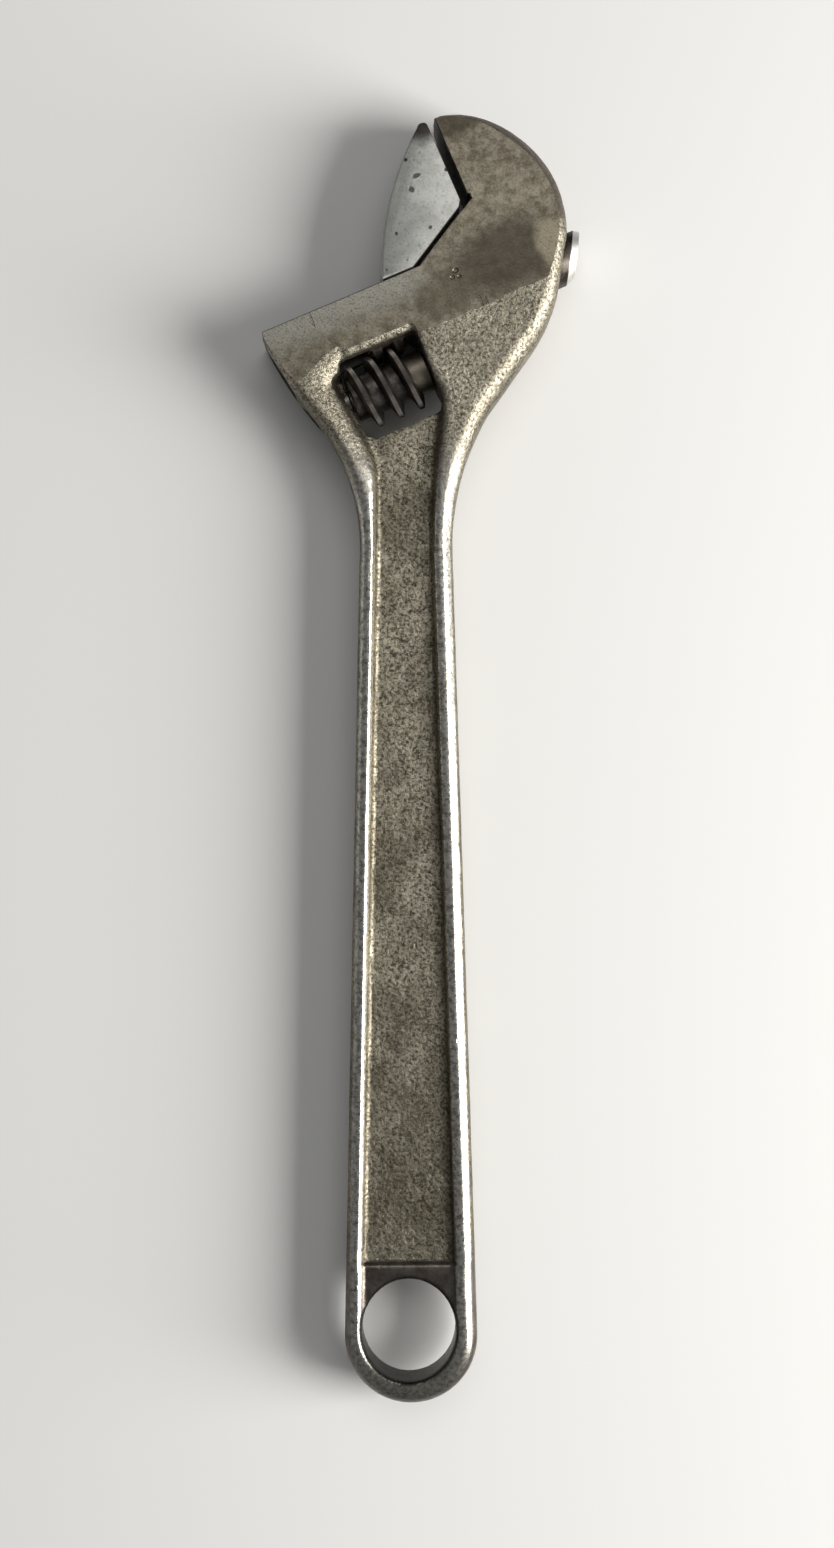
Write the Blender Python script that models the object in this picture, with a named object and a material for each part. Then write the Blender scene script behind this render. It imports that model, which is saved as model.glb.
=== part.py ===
"""Adjustable wrench: a forged body with the fixed jaw, a sliding jaw with a rack, and the knurled
worm that drives it, carried on a screw pin with a take-up spring. +Y runs up the handle to the
head, +Z through the thickness, and the head stands on z = 0."""

import math

import bmesh
import bpy
from mathutils import Matrix, Vector

MM = 0.001

# Forged body, overall
HANDLE_REACH = 257.3 * MM  # eye centre to the corner where the jaw face line meets the shelf
CORNER_X = 19.2 * MM
HEAD_ANGLE = math.radians(22.5)
HEAD_HALF = 9.5 * MM  # half of the head's thickness
TIP_HALF = 7.2 * MM
NECK_HALF = 6.6 * MM  # half thickness of the rims where the handle leaves the head
END_HALF = 5.7 * MM  # half thickness of the rim at the eye
EYE_WIDTH = 15.8 * MM  # outer radius of the eye
EYE_DROP = 1.4 * MM
NECK_WIDTH = 11.15 * MM  # half width of the handle at its narrowest
GROUND_EDGE = 0.35 * MM  # edges left sharp by grinding
RIM_EDGE = 2.6 * MM  # rounded outer edge of the rims

# Recess and hanging hole, both a little left of the centreline
RECESS_SHIFT = -0.5 * MM
RIM_WIDTH = 5.55 * MM
WEB_HALF = 3.0 * MM
EYE_FACE_HALF = 4.3 * MM
RECESS_END = 17.0 * MM
HOLE_WIDE = 11.1 * MM
HOLE_LONG = 12.0 * MM
HOLE_RISE = 0.5 * MM  # how far the hole sits above the middle of the eye

# Jaws, in the head frame: u across the mouth, v from the shelf to the jaw tips
JAW_DEPTH = 31.2 * MM
THROAT = 9.7 * MM
THROAT_RUN = 16.8 * MM
SHELF_END = 57.5 * MM
MOUTH_REST = 2.1 * MM
MOUTH_SHUT = 0.3 * MM  # what is left between the jaws when they are closed
LEAF_BASE = 24.4 * MM
FIT = 0.3 * MM  # running clearance between pieces

# Slide bar with its rack
BAR_R = 5.7 * MM
BAR_V = -10.2 * MM
BAR_LEFT = -35.6 * MM
BAR_RIGHT = 18.6 * MM  # where the slanted end crosses the bar's axis
BAR_END_SLANT = math.radians(29)
NECK_THICK = 7.0 * MM
NECK_FROM, NECK_TO = -25.0 * MM, -4.2 * MM
PITCH = 5.3 * MM
TOOTH_ROOT = 2.6 * MM  # width of a rack tooth at its root
TOOTH_TIP = 1.3 * MM
GAPS = 8  # the first one shapes the end tooth

# Worm, pin and spring
WORM_CORE = 5.2 * MM
WORM_R = 8.1 * MM
CREST = 1.6 * MM
THREAD_ROOT = 3.2 * MM
WORM_LEFT, WORM_RIGHT = -43.3 * MM, -23.9 * MM
FIRST_CREST = -41.7 * MM  # crest on the rack side, one pitch before the first full turn
THREAD_FROM, THREAD_TO = math.radians(-100), math.radians(965)
WORM_BORE = 2.4 * MM
PIN_R = 2.0 * MM
PIN_SCREW_R = 2.7 * MM
PIN_FROM, PIN_TO = -53.0 * MM, -17.2 * MM
SPRING_WIRE = 0.4 * MM
SPRING_COILS = 4
SPRING_BORE = 3.8 * MM
SPRING_DEPTH = 5.4 * MM

WORM_V = BAR_V - BAR_R - 0.4 * MM - WORM_CORE
RACK_ROOT_V = WORM_V + WORM_R + FIT
WINDOW = (WORM_LEFT - FIT, WORM_RIGHT + FIT, WORM_V - WORM_R - 2.8 * MM, WORM_V + WORM_R + 0.4 * MM)
LEAD_ANGLE = math.atan2(PITCH, 2 * math.pi * 0.94 * WORM_R)

STEEL = (0.36, 0.35, 0.32)
BRIGHT_STEEL = (0.55, 0.55, 0.54)
DARK_STEEL = (0.16, 0.155, 0.15)


def clear_scene():
    for obj in list(bpy.data.objects):
        bpy.data.objects.remove(obj, do_unlink=True)


def head(u, v):
    """A point of the head frame, in the handle's frame."""
    c, s = math.cos(HEAD_ANGLE), math.sin(HEAD_ANGLE)
    return (CORNER_X + u * c - v * s, HANDLE_REACH + u * s + v * c)


def neck(x, below):
    """A point beside the neck, given below the head's corner."""
    return (x, HANDLE_REACH - below)


def head_matrix():
    x, y = head(0, 0)
    return Matrix.Translation((x, y, 0)) @ Matrix.Rotation(HEAD_ANGLE, 4, "Z")


def along_u(u, v):
    """A frame at (u, v) whose Z runs along +u and whose X runs along v."""
    return head_matrix() @ Matrix.Translation((u, v, 0)) @ Matrix(
        ((0, 0, 1, 0), (1, 0, 0, 0), (0, 1, 0, 0), (0, 0, 0, 1))
    )


def arc_points(start, via, end, step):
    """Points after start, up to end, on the circle through all three."""
    (ax, ay), (bx, by), (cx, cy) = start, via, end
    d = 2 * (ax * (by - cy) + bx * (cy - ay) + cx * (ay - by))
    a2, b2, c2 = ax * ax + ay * ay, bx * bx + by * by, cx * cx + cy * cy
    ox = (a2 * (by - cy) + b2 * (cy - ay) + c2 * (ay - by)) / d
    oy = (a2 * (cx - bx) + b2 * (ax - cx) + c2 * (bx - ax)) / d
    radius = math.hypot(ax - ox, ay - oy)
    first = math.atan2(ay - oy, ax - ox)
    sweep = (math.atan2(cy - oy, cx - ox) - first) % (2 * math.pi)
    middle = (math.atan2(by - oy, bx - ox) - first) % (2 * math.pi)
    if middle > sweep:
        sweep -= 2 * math.pi
    count = max(2, round(abs(sweep) * radius / step))
    turns = [first + sweep * k / count for k in range(1, count + 1)]
    return [(ox + radius * math.cos(t), oy + radius * math.sin(t)) for t in turns]


def trace(start, edge, legs):
    """An outline as (x, y, edge rounding): each leg is (via or None, end, edge, step)."""
    points = [(*start, edge)]
    here = start
    for via, end, to_edge, step in legs:
        if via:
            run = arc_points(here, via, end, step)
        else:
            count = max(1, round(math.dist(here, end) / step))
            run = [tuple(a + (b - a) * k / count for a, b in zip(here, end)) for k in range(1, count + 1)]
        for k, (x, y) in enumerate(run, 1):
            points.append((x, y, edge + (to_edge - edge) * k / len(run)))
        here, edge = end, to_edge
    if math.dist(points[0][:2], points[-1][:2]) < 1e-6:
        points.pop()
    return points


def body_outline():
    taper = (EYE_WIDTH - NECK_WIDTH) / (HANDLE_REACH - 75 * MM)
    side = (EYE_WIDTH * math.cos(taper), EYE_WIDTH * math.sin(taper) - EYE_DROP)
    far = 99.0
    legs = [
        (None, neck(NECK_WIDTH, 75 * MM), RIM_EDGE, far),
        (neck(13.15 * MM, 55.8 * MM), neck(19.8 * MM, 40 * MM), 2.2 * MM, 5 * MM),
        (None, neck(30.2 * MM, 25.4 * MM), 1.7 * MM, 9 * MM),
        (neck(34.6 * MM, 17.4 * MM), neck(36.9 * MM, 9.3 * MM), 1.3 * MM, 4 * MM),
        (None, neck(38.7 * MM, -1.5 * MM), 2.4 * MM, 6 * MM),
        (neck(34.4 * MM, -17.2 * MM), neck(24.2 * MM, -27.5 * MM), 3.2 * MM, 2.8 * MM),
        (neck(16.2 * MM, -30.2 * MM), neck(8.7 * MM, -30 * MM), 1.0 * MM, 2.6 * MM),
        (None, head(0, JAW_DEPTH), GROUND_EDGE, far),
        (None, head(0, THROAT + 1.6 * MM), GROUND_EDGE, far),
        (None, head(0.5 * MM, THROAT + 1.3 * MM), GROUND_EDGE, far),
        (None, head(0.5 * MM, THROAT + 0.2 * MM), GROUND_EDGE, far),
        (None, head(-0.5 * MM, THROAT - 0.5 * MM * THROAT / THROAT_RUN), GROUND_EDGE, far),
        (None, head(-THROAT_RUN, 0), GROUND_EDGE, far),
        (None, head(1.2 * MM - SHELF_END, 0), GROUND_EDGE, far),
        (head(0.3 * MM - SHELF_END, -0.4 * MM), head(-0.1 * MM - SHELF_END, -1.5 * MM), 0.9 * MM, 0.8 * MM),
        (neck(-26.6 * MM, 35 * MM), neck(-19.4 * MM, 44 * MM), 1.8 * MM, 5 * MM),
        (neck(-13.9 * MM, 54.7 * MM), neck(-NECK_WIDTH, 75 * MM), RIM_EDGE, 5 * MM),
        (None, (-side[0], side[1]), RIM_EDGE, far),
        ((0, -EYE_WIDTH - EYE_DROP), side, RIM_EDGE, 2.6 * MM),
    ]
    return trace(side, RIM_EDGE, legs)


def leaf_slope(u):
    """Height of the sliding jaw's lower slope, which clears the throat when the mouth is shut."""
    rise = THROAT / THROAT_RUN
    return (u + THROAT_RUN + MOUTH_REST - MOUTH_SHUT) * rise + 0.15 * MM


def leaf_outline():
    """The sliding jaw, resting MOUTH_REST from the fixed one."""
    face = -MOUTH_REST
    foot = -THROAT_RUN - (leaf_slope(-THROAT_RUN) - FIT) * THROAT_RUN / THROAT
    legs = [
        (None, head(face - 1.0 * MM, leaf_slope(face - 1.0 * MM)), GROUND_EDGE, 99.0),
        (None, head(face, leaf_slope(face) + 0.9 * MM), GROUND_EDGE, 99.0),
        (None, head(face, JAW_DEPTH - 1.1 * MM), GROUND_EDGE, 99.0),
        (None, head(face - 0.9 * MM, JAW_DEPTH + 0.3 * MM), 0.6 * MM, 99.0),
        (None, head(face - 2.7 * MM, JAW_DEPTH - 0.2 * MM), 0.8 * MM, 99.0),
        (head(face - 16.6 * MM, 15.9 * MM), head(face - LEAF_BASE, FIT + 0.6 * MM), 1.2 * MM, 3.0 * MM),
        (None, head(face - LEAF_BASE + 0.5 * MM, FIT), GROUND_EDGE, 99.0),
    ]
    return trace(head(foot, FIT), GROUND_EDGE, legs)


def half_thickness(v):
    """Half of the forging's thickness: level over the head, thinner to the tips and the handle."""
    stops = [
        (-HANDLE_REACH, END_HALF),
        (-46 * MM, NECK_HALF),
        (-14 * MM, HEAD_HALF),
        (6 * MM, HEAD_HALF),
        (JAW_DEPTH, TIP_HALF),
    ]
    for (v0, h0), (v1, h1) in zip(stops, stops[1:]):
        if v <= v1:
            return h0 + (h1 - h0) * (max(v, v0) - v0) / (v1 - v0)
    return TIP_HALF


def inward(points, edges):
    """The outline moved inwards by each point's own distance."""
    moved = []
    for i, (x, y) in enumerate(points):
        back = Vector((x, y)) - Vector(points[i - 1])
        ahead = Vector(points[(i + 1) % len(points)]) - Vector((x, y))
        normals = [Vector((-d.y, d.x)).normalized() for d in (back, ahead)]
        middle = (normals[0] + normals[1]).normalized()
        reach = edges[i] / max(0.5, middle.dot(normals[0]))
        moved.append((x + middle.x * reach, y + middle.y * reach))
    return moved


def loft(bm, rings):
    """Joins rings of (x, y, z) points and closes both ends."""
    made = [[bm.verts.new(p) for p in ring] for ring in rings]
    for low, high in zip(made, made[1:]):
        for i in range(len(low)):
            j = (i + 1) % len(low)
            bm.faces.new((low[i], low[j], high[j], high[i]))
    bm.faces.new(list(reversed(made[0])))
    bm.faces.new(made[-1])


def add_object(name, bm, colour=None, roughness=0.4, parent=None):
    mesh = bpy.data.meshes.new(name)
    bm.to_mesh(mesh)
    bm.free()
    obj = bpy.data.objects.new(name, mesh)
    bpy.context.scene.collection.objects.link(obj)
    obj.parent = parent
    if colour:
        material = bpy.data.materials.new(name)
        material.use_nodes = True
        shader = material.node_tree.nodes["Principled BSDF"]
        shader.inputs["Base Color"].default_value = (*colour, 1)
        shader.inputs["Roughness"].default_value = roughness
        shader.inputs["Metallic"].default_value = 1.0
        mesh.materials.append(material)
        mesh.shade_smooth()
        mesh.set_sharp_from_angle(angle=math.radians(30))
    else:
        obj.hide_render = True
        obj.display_type = "WIRE"
    return obj


def forging(outline):
    """A solid on the outline, mirrored about z = 0, its edges rounded by each point's own amount."""
    points = [p[:2] for p in outline]
    edges = [p[2] for p in outline]
    rounded = [(0.45, 0.10), (0.75, 0.34), (0.92, 0.66), (1.0, 1.0)]
    ground = [(0.45, 0.0), (0.75, 0.0), (0.96, 0.0), (1.0, 1.0)]
    levels = [(0.0, points, [0.0] * len(points))]
    for (tall, share), (flat_tall, flat_share) in zip(rounded, ground):
        soft = [min(1.0, max(0.0, (e - GROUND_EDGE) / MM)) for e in edges]
        moved = inward(points, [e * (flat_share + (share - flat_share) * s) for e, s in zip(edges, soft)])
        levels.append((tall, moved, [flat_tall + (tall - flat_tall) * s for s in soft]))
    rings = []
    for tall, moved, heights in levels:
        rings.append([(x, y, h) for (x, y), h in zip(moved, heights)])
    lower = [[(x, y, -z) for x, y, z in ring] for ring in reversed(rings[1:])]
    bm = bmesh.new()
    loft(bm, lower + rings)
    to_head = head_matrix()
    for v in (-46 * MM, -14 * MM, 6 * MM):
        bmesh.ops.bisect_plane(
            bm,
            geom=bm.verts[:] + bm.edges[:] + bm.faces[:],
            dist=1e-7,
            plane_co=to_head @ Vector((0, v, 0)),
            plane_no=to_head.to_3x3() @ Vector((0, 1, 0)),
        )
    back = to_head.inverted()
    for vert in bm.verts:
        vert.co.z *= half_thickness((back @ Vector((vert.co.x, vert.co.y, 0))).y)
    bmesh.ops.triangulate(bm, faces=[f for f in bm.faces if len(f.verts) > 4])
    return bm


def flared(outline, walls):
    """A cutter for both faces whose walls lean out: walls is (outwards, height) from the floor up."""
    bm = bmesh.new()
    rings = []
    for out, z in walls:
        ring = inward(outline, [-out] * len(outline))
        rings.append([(x, y, z) for x, y in ring])
    loft(bm, rings)
    loft(bm, [[(x, y, -z) for x, y, z in ring] for ring in reversed(rings)])
    return bm


def recess_outline():
    left, right, low, _ = WINDOW
    upper = RIM_WIDTH + 0.1 * MM
    taper = (EYE_WIDTH - NECK_WIDTH) / (HANDLE_REACH - 75 * MM)
    foot = EYE_WIDTH - taper * (RECESS_END + EYE_DROP) - RIM_WIDTH
    waist = NECK_WIDTH - upper
    shift = RECESS_SHIFT
    legs = [
        (None, neck(shift + waist, 74 * MM), 0, 99.0),
        (neck(5.9 * MM, 53 * MM), neck(7.2 * MM, 41 * MM), 0, 6 * MM),
        (None, head(right - 1.6 * MM, low + 3.4 * MM), 0, 99.0),
        (None, head(right - 4 * MM, low + 14 * MM), 0, 99.0),
        (None, head(left + 2 * MM, low + 16 * MM), 0, 99.0),
        (None, head(left - 0.6 * MM, low + 14.5 * MM), 0, 99.0),
        (None, head(left + 0.2 * MM, low + 6 * MM), 0, 99.0),
        (None, head(left + 0.5 * MM, low + 1.5 * MM), 0, 99.0),
        (neck(-6.7 * MM, 50.2 * MM), neck(-5.85 * MM, 58 * MM), 0, 4 * MM),
        (None, neck(shift - waist, 74 * MM), 0, 99.0),
        (None, (shift - foot, RECESS_END), 0, 99.0),
    ]
    return [p[:2] for p in trace((shift + foot, RECESS_END), 0, legs)]


def recess_cutter():
    walls = [
        (0, WEB_HALF),
        (0.6 * MM, WEB_HALF + 0.3 * MM),
        (1.1 * MM, WEB_HALF + 1.1 * MM),
        (1.5 * MM, WEB_HALF + 2.4 * MM),
        (2.4 * MM, WEB_HALF + 4.4 * MM),
        (2.8 * MM, HEAD_HALF + 2 * MM),
    ]
    return add_object("cut_recess", flared(recess_outline(), walls))


def eye_face_cutter():
    wide = HOLE_WIDE - 0.9 * MM
    top = RECESS_END + 2 * MM
    legs = [
        (None, (RECESS_SHIFT + wide - 0.3 * MM, top), 0, 99.0),
        (None, (RECESS_SHIFT - wide + 0.3 * MM, top), 0, 99.0),
        (None, (RECESS_SHIFT - wide, HOLE_RISE), 0, 99.0),
        ((RECESS_SHIFT, HOLE_RISE - wide), (RECESS_SHIFT + wide, HOLE_RISE), 0, 3 * MM),
    ]
    outline = [p[:2] for p in trace((RECESS_SHIFT + wide, HOLE_RISE), 0, legs)]
    walls = [
        (0, EYE_FACE_HALF),
        (0.7 * MM, EYE_FACE_HALF + 0.3 * MM),
        (1.9 * MM, END_HALF + 0.2 * MM),
        (2.4 * MM, END_HALF + 2 * MM),
    ]
    return add_object("cut_eye_face", flared(outline, walls))


def hole_cutter():
    """The hanging hole, an oval slightly longer than wide."""
    bm = bmesh.new()
    rings = []
    for z, grow in ((-9, 0.8), (-4.2, 0.8), (-3.4, 0), (3.4, 0), (4.2, 0.8), (9, 0.8)):
        wide, long = HOLE_WIDE + grow * MM, HOLE_LONG + grow * MM
        turns = [2 * math.pi * k / 40 for k in range(40)]
        ring = [(RECESS_SHIFT + wide * math.cos(t), HOLE_RISE + long * math.sin(t), z * MM) for t in turns]
        rings.append(ring)
    loft(bm, rings)
    return add_object("cut_hole", bm)


def window_cutter():
    """The worm's window, its upper edge eased towards each face."""
    left, right, low, high = WINDOW
    bm = bmesh.new()
    rings = []
    for z, ease in ((-12, 1.0), (-HEAD_HALF / MM, 1.0), (-7.2, 0), (7.2, 0), (HEAD_HALF / MM, 1.0), (12, 1.0)):
        top = high + 1.3 * MM * ease
        side = left - 0.3 * MM * ease
        outline = [
            (side + 2 * MM, low), (right - 1.6 * MM, low), (right, low + 2.2 * MM),
            (right, top - 0.7 * MM), (right - 0.7 * MM, top), (side + 1 * MM, top),
            (side + 0.4 * MM, top - 0.6 * MM), (side - 0.5 * MM, top - 5.5 * MM),
            (side - 0.6 * MM, low + 8 * MM), (side, low + 2 * MM),
        ]
        rings.append([(*head(u, v), z * MM) for u, v in outline])
    loft(bm, rings)
    return add_object("cut_window", bm)


def cylinder(bm, frame, radius, start, end, sides):
    """A cylinder on the frame's Z axis, from start to end."""
    rings = []
    for z in (start, end):
        turns = [2 * math.pi * (k + 0.5) / sides for k in range(sides)]
        rings.append([frame @ Vector((radius * math.cos(t), radius * math.sin(t), z)) for t in turns])
    loft(bm, rings)


def box(bm, frame, low, high):
    (x0, y0, z0), (x1, y1, z1) = low, high
    rings = []
    for z in (z0, z1):
        rings.append([frame @ Vector(p) for p in ((x0, y0, z), (x1, y0, z), (x1, y1, z), (x0, y1, z))])
    loft(bm, rings)


def slide_cutters():
    """The keyhole: the bar's bore right through the head, and the slit for the jaw's neck."""
    bore = bmesh.new()
    cylinder(bore, along_u(0, BAR_V), BAR_R + FIT, -SHELF_END - 9 * MM, 34 * MM, 32)
    slit = bmesh.new()
    half = NECK_THICK / 2 + FIT
    far = NECK_TO + MOUTH_REST + 1.2 * MM
    low, high = (-SHELF_END - 9 * MM, BAR_V, -half), (far, THROAT + 3 * MM, half)
    box(slit, head_matrix(), low, high)
    return [add_object("cut_bore", bore), add_object("cut_slit", slit)]


def pin_cutters():
    screw = bmesh.new()
    cylinder(screw, along_u(0, WORM_V), PIN_SCREW_R + FIT, -SHELF_END - 4 * MM, WINDOW[0] + 3 * MM, 20)
    seat = bmesh.new()
    cylinder(seat, along_u(0, WORM_V), PIN_R + FIT, WINDOW[1] - 3 * MM, PIN_TO + 0.6 * MM, 20)
    return [add_object("cut_pin_screw", screw), add_object("cut_pin_seat", seat)]


def boolean(obj, cutter, operation="DIFFERENCE"):
    modifier = obj.modifiers.new(cutter.name, "BOOLEAN")
    modifier.operation = operation
    modifier.solver = "EXACT"
    modifier.object = cutter


def make_body(root):
    body = add_object("body", forging(body_outline()), STEEL, 0.42, root)
    cutters = [recess_cutter(), eye_face_cutter(), hole_cutter(), window_cutter()]
    for cutter in cutters + slide_cutters() + pin_cutters():
        cutter.parent = root
        boolean(body, cutter)


def joint_axis(name, root, frame):
    """The empty that a moving piece hangs on, with its Z along the joint's axis."""
    empty = bpy.data.objects.new(name, None)
    bpy.context.scene.collection.objects.link(empty)
    empty.parent = root
    empty.matrix_basis = frame
    return empty


def hang(obj, empty):
    """Parents a piece modelled in the handle's frame, which leaves it where it is."""
    obj.parent = empty
    obj.matrix_parent_inverse = empty.matrix_basis.inverted()


def rack_gaps():
    """Slanted grooves across the bar's lower side, one for each turn of the worm that can reach it."""
    bm = bmesh.new()
    deep = RACK_ROOT_V
    open_v = BAR_V - BAR_R - 1.0 * MM
    flank = (TOOTH_ROOT - TOOTH_TIP) / 2 / (deep - BAR_V + BAR_R)
    narrow = (PITCH - TOOTH_ROOT) / 2
    wide = narrow + flank * (deep - open_v)
    lean = math.tan(LEAD_ANGLE) * 9 * MM
    for k in range(GAPS):
        u = FIRST_CREST + PITCH * (k + 1)
        rings = []
        for z, shift in ((-9 * MM, -lean), (9 * MM, lean)):
            ring = []
            for du, v in ((-wide, open_v), (wide, open_v), (narrow, deep), (-narrow, deep)):
                ring.append((*head(u + shift + du, v), z))
            rings.append(ring)
        loft(bm, rings)
    return add_object("cut_rack", bm)


def bar_end_cutter():
    bm = bmesh.new()
    frame = head_matrix() @ Matrix.Translation((BAR_RIGHT, BAR_V, 0))
    box(bm, frame @ Matrix.Rotation(-BAR_END_SLANT, 4, "Z"), (0, -20 * MM, -9 * MM), (20 * MM, 20 * MM, 9 * MM))
    return add_object("cut_bar_end", bm)


def make_jaw(root):
    axis = joint_axis("slide_axis", root, along_u(0, BAR_V))
    jaw = add_object("movable_jaw", forging(leaf_outline()), BRIGHT_STEEL, 0.38)
    hang(jaw, axis)
    web = bmesh.new()
    half = NECK_THICK / 2
    corners = [
        (NECK_FROM, BAR_V), (NECK_TO, BAR_V), (NECK_TO, leaf_slope(NECK_TO) + 1 * MM),
        (-THROAT_RUN, leaf_slope(-THROAT_RUN) + 1 * MM), (NECK_FROM, leaf_slope(-THROAT_RUN) + 1 * MM),
    ]
    loft(web, [[(*head(u, v), z) for u, v in corners] for z in (-half, half)])
    bar = bmesh.new()
    cylinder(bar, along_u(0, BAR_V), BAR_R, BAR_LEFT, BAR_RIGHT + 12 * MM, 32)
    for part in (add_object("join_web", web), add_object("join_bar", bar)):
        hang(part, axis)
        boolean(jaw, part, "UNION")
    for cutter in (rack_gaps(), bar_end_cutter()):
        hang(cutter, axis)
        boolean(jaw, cutter)


def thread_bar():
    """One turn after another of a trapezoid ridge, its root sunk in the core, fading at the far end."""
    bm = bmesh.new()
    steps = 28
    count = round((THREAD_TO - THREAD_FROM) / (2 * math.pi) * steps)
    frame = along_u(0, WORM_V)
    sunk = WORM_CORE - 1.2 * MM
    rings = []
    for k in range(count + 1):
        turn = THREAD_FROM + (THREAD_TO - THREAD_FROM) * k / count
        fade = min(1.0, (count - k) / 5 + 0.02)
        centre = FIRST_CREST + PITCH * turn / (2 * math.pi)
        top = sunk + (WORM_R - sunk) * fade
        root = THREAD_ROOT / 2 + 0.3 * MM
        ring = []
        for r, du in ((sunk, -root), (sunk, root), (top, CREST / 2), (top, -CREST / 2)):
            ring.append(frame @ Vector((r * math.cos(turn), r * math.sin(turn), centre + du)))
        rings.append(ring)
    loft(bm, rings)
    return add_object("join_thread", bm)


def make_worm(root):
    frame = along_u(0, WORM_V)
    core = bmesh.new()
    cylinder(core, frame, WORM_CORE, WORM_LEFT, WORM_RIGHT, 28)
    axis = joint_axis("worm_axis", root, frame)
    worm = add_object("worm_knurl", core, DARK_STEEL, 0.4)
    hang(worm, axis)
    hold = bmesh.new()
    cylinder(hold, frame, WORM_R + 2 * MM, WORM_LEFT, WORM_RIGHT, 28)
    bore = bmesh.new()
    cylinder(bore, frame, WORM_BORE, WORM_LEFT - 2 * MM, WORM_RIGHT + 2 * MM, 20)
    pocket = bmesh.new()
    cylinder(pocket, frame, SPRING_BORE, WORM_RIGHT - SPRING_DEPTH, WORM_RIGHT + 2 * MM, 24)
    steps = [
        (thread_bar(), "UNION"),
        (add_object("keep_length", hold), "INTERSECT"),
        (add_object("cut_worm_bore", bore), "DIFFERENCE"),
        (add_object("cut_spring_pocket", pocket), "DIFFERENCE"),
    ]
    for tool, operation in steps:
        hang(tool, axis)
        boolean(worm, tool, operation)


def make_pin(root):
    frame = along_u(0, WORM_V)
    bm = bmesh.new()
    profile = [
        (PIN_SCREW_R - 0.4 * MM, PIN_FROM), (PIN_SCREW_R, PIN_FROM + 0.4 * MM),
        (PIN_SCREW_R, WINDOW[0] - 0.4 * MM), (PIN_R, WINDOW[0]),
        (PIN_R, PIN_TO - 0.5 * MM), (PIN_R - 0.5 * MM, PIN_TO),
    ]
    rings = []
    for radius, z in profile:
        turns = [2 * math.pi * (k + 0.5) / 20 for k in range(20)]
        rings.append([frame @ Vector((radius * math.cos(t), radius * math.sin(t), z)) for t in turns])
    loft(bm, rings)
    pin = add_object("worm_pin", bm, DARK_STEEL, 0.35, root)
    slot = bmesh.new()
    box(slot, frame, (-5 * MM, -0.45 * MM, PIN_FROM - 2 * MM), (5 * MM, 0.45 * MM, PIN_FROM + 1.1 * MM))
    cutter = add_object("cut_screw_slot", slot)
    cutter.parent = root
    boolean(pin, cutter)


def make_spring(root):
    """A few open coils round the pin, in the worm's end pocket."""
    frame = along_u(0, WORM_V)
    radius = (PIN_R + SPRING_BORE) / 2
    first = WORM_RIGHT - SPRING_DEPTH + SPRING_WIRE + 0.15 * MM
    last = WORM_RIGHT - SPRING_WIRE
    count = SPRING_COILS * 16
    bm = bmesh.new()
    rings = []
    for k in range(count + 1):
        turn = 2 * math.pi * SPRING_COILS * k / count
        z = first + (last - first) * k / count
        ring = []
        for side in range(6):
            t = 2 * math.pi * side / 6
            r = radius + SPRING_WIRE * math.cos(t)
            ring.append(frame @ Vector((r * math.cos(turn), r * math.sin(turn), z - SPRING_WIRE * math.sin(t))))
        rings.append(ring)
    loft(bm, rings)
    add_object("worm_spring", bm, DARK_STEEL, 0.3, root)


def settle(root):
    """Moves the whole wrench so that it stands on z = 0, centred over the origin."""
    bpy.context.view_layer.update()
    graph = bpy.context.evaluated_depsgraph_get()
    corners = []
    for obj in bpy.data.objects:
        if obj.type == "MESH" and not obj.hide_render:
            shape = obj.evaluated_get(graph)
            corners += [shape.matrix_world @ vert.co for vert in shape.data.vertices]
    low = [min(c[i] for c in corners) for i in range(3)]
    high = [max(c[i] for c in corners) for i in range(3)]
    root.location = (-(low[0] + high[0]) / 2, -(low[1] + high[1]) / 2, -low[2])


def main():
    clear_scene()
    root = bpy.data.objects.new("wrench", None)
    bpy.context.scene.collection.objects.link(root)
    make_body(root)
    make_jaw(root)
    make_worm(root)
    make_pin(root)
    make_spring(root)
    settle(root)


main()
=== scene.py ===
"""The looks of the adjustable wrench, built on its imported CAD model."""

import math

import bmesh
import bpy
import numpy as np
from mathutils import Matrix, Vector, noise


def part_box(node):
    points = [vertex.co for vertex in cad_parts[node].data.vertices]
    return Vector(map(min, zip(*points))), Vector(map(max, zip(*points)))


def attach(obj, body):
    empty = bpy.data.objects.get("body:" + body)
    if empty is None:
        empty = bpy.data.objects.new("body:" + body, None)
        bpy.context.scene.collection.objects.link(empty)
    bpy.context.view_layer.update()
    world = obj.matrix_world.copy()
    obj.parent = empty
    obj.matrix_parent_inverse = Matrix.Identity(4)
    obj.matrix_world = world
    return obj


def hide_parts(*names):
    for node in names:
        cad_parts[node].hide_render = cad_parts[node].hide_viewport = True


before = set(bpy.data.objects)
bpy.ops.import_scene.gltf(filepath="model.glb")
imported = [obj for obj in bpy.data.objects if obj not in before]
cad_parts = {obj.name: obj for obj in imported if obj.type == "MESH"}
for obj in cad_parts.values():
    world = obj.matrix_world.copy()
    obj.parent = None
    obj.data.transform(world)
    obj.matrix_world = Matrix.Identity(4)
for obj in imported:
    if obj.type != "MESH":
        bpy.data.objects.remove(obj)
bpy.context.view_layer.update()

# ---------------------------------------------------------------- sizes, in millimetres
# The handle's frame has its origin in the eye, Y towards the head and Z up through the faces.
# The head's frame starts at its corner, with u along the slide and v towards the jaw tips.
REACH, CORNER_X = 257.3, 19.2
TILT = math.radians(22.5)
# Half thicknesses: ground head, jaw tips, handle at the neck and at the eye.
HEAD_HALF, TIP_HALF, NECK_HALF, END_HALF = 9.5, 7.2, 6.6, 5.7
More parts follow.
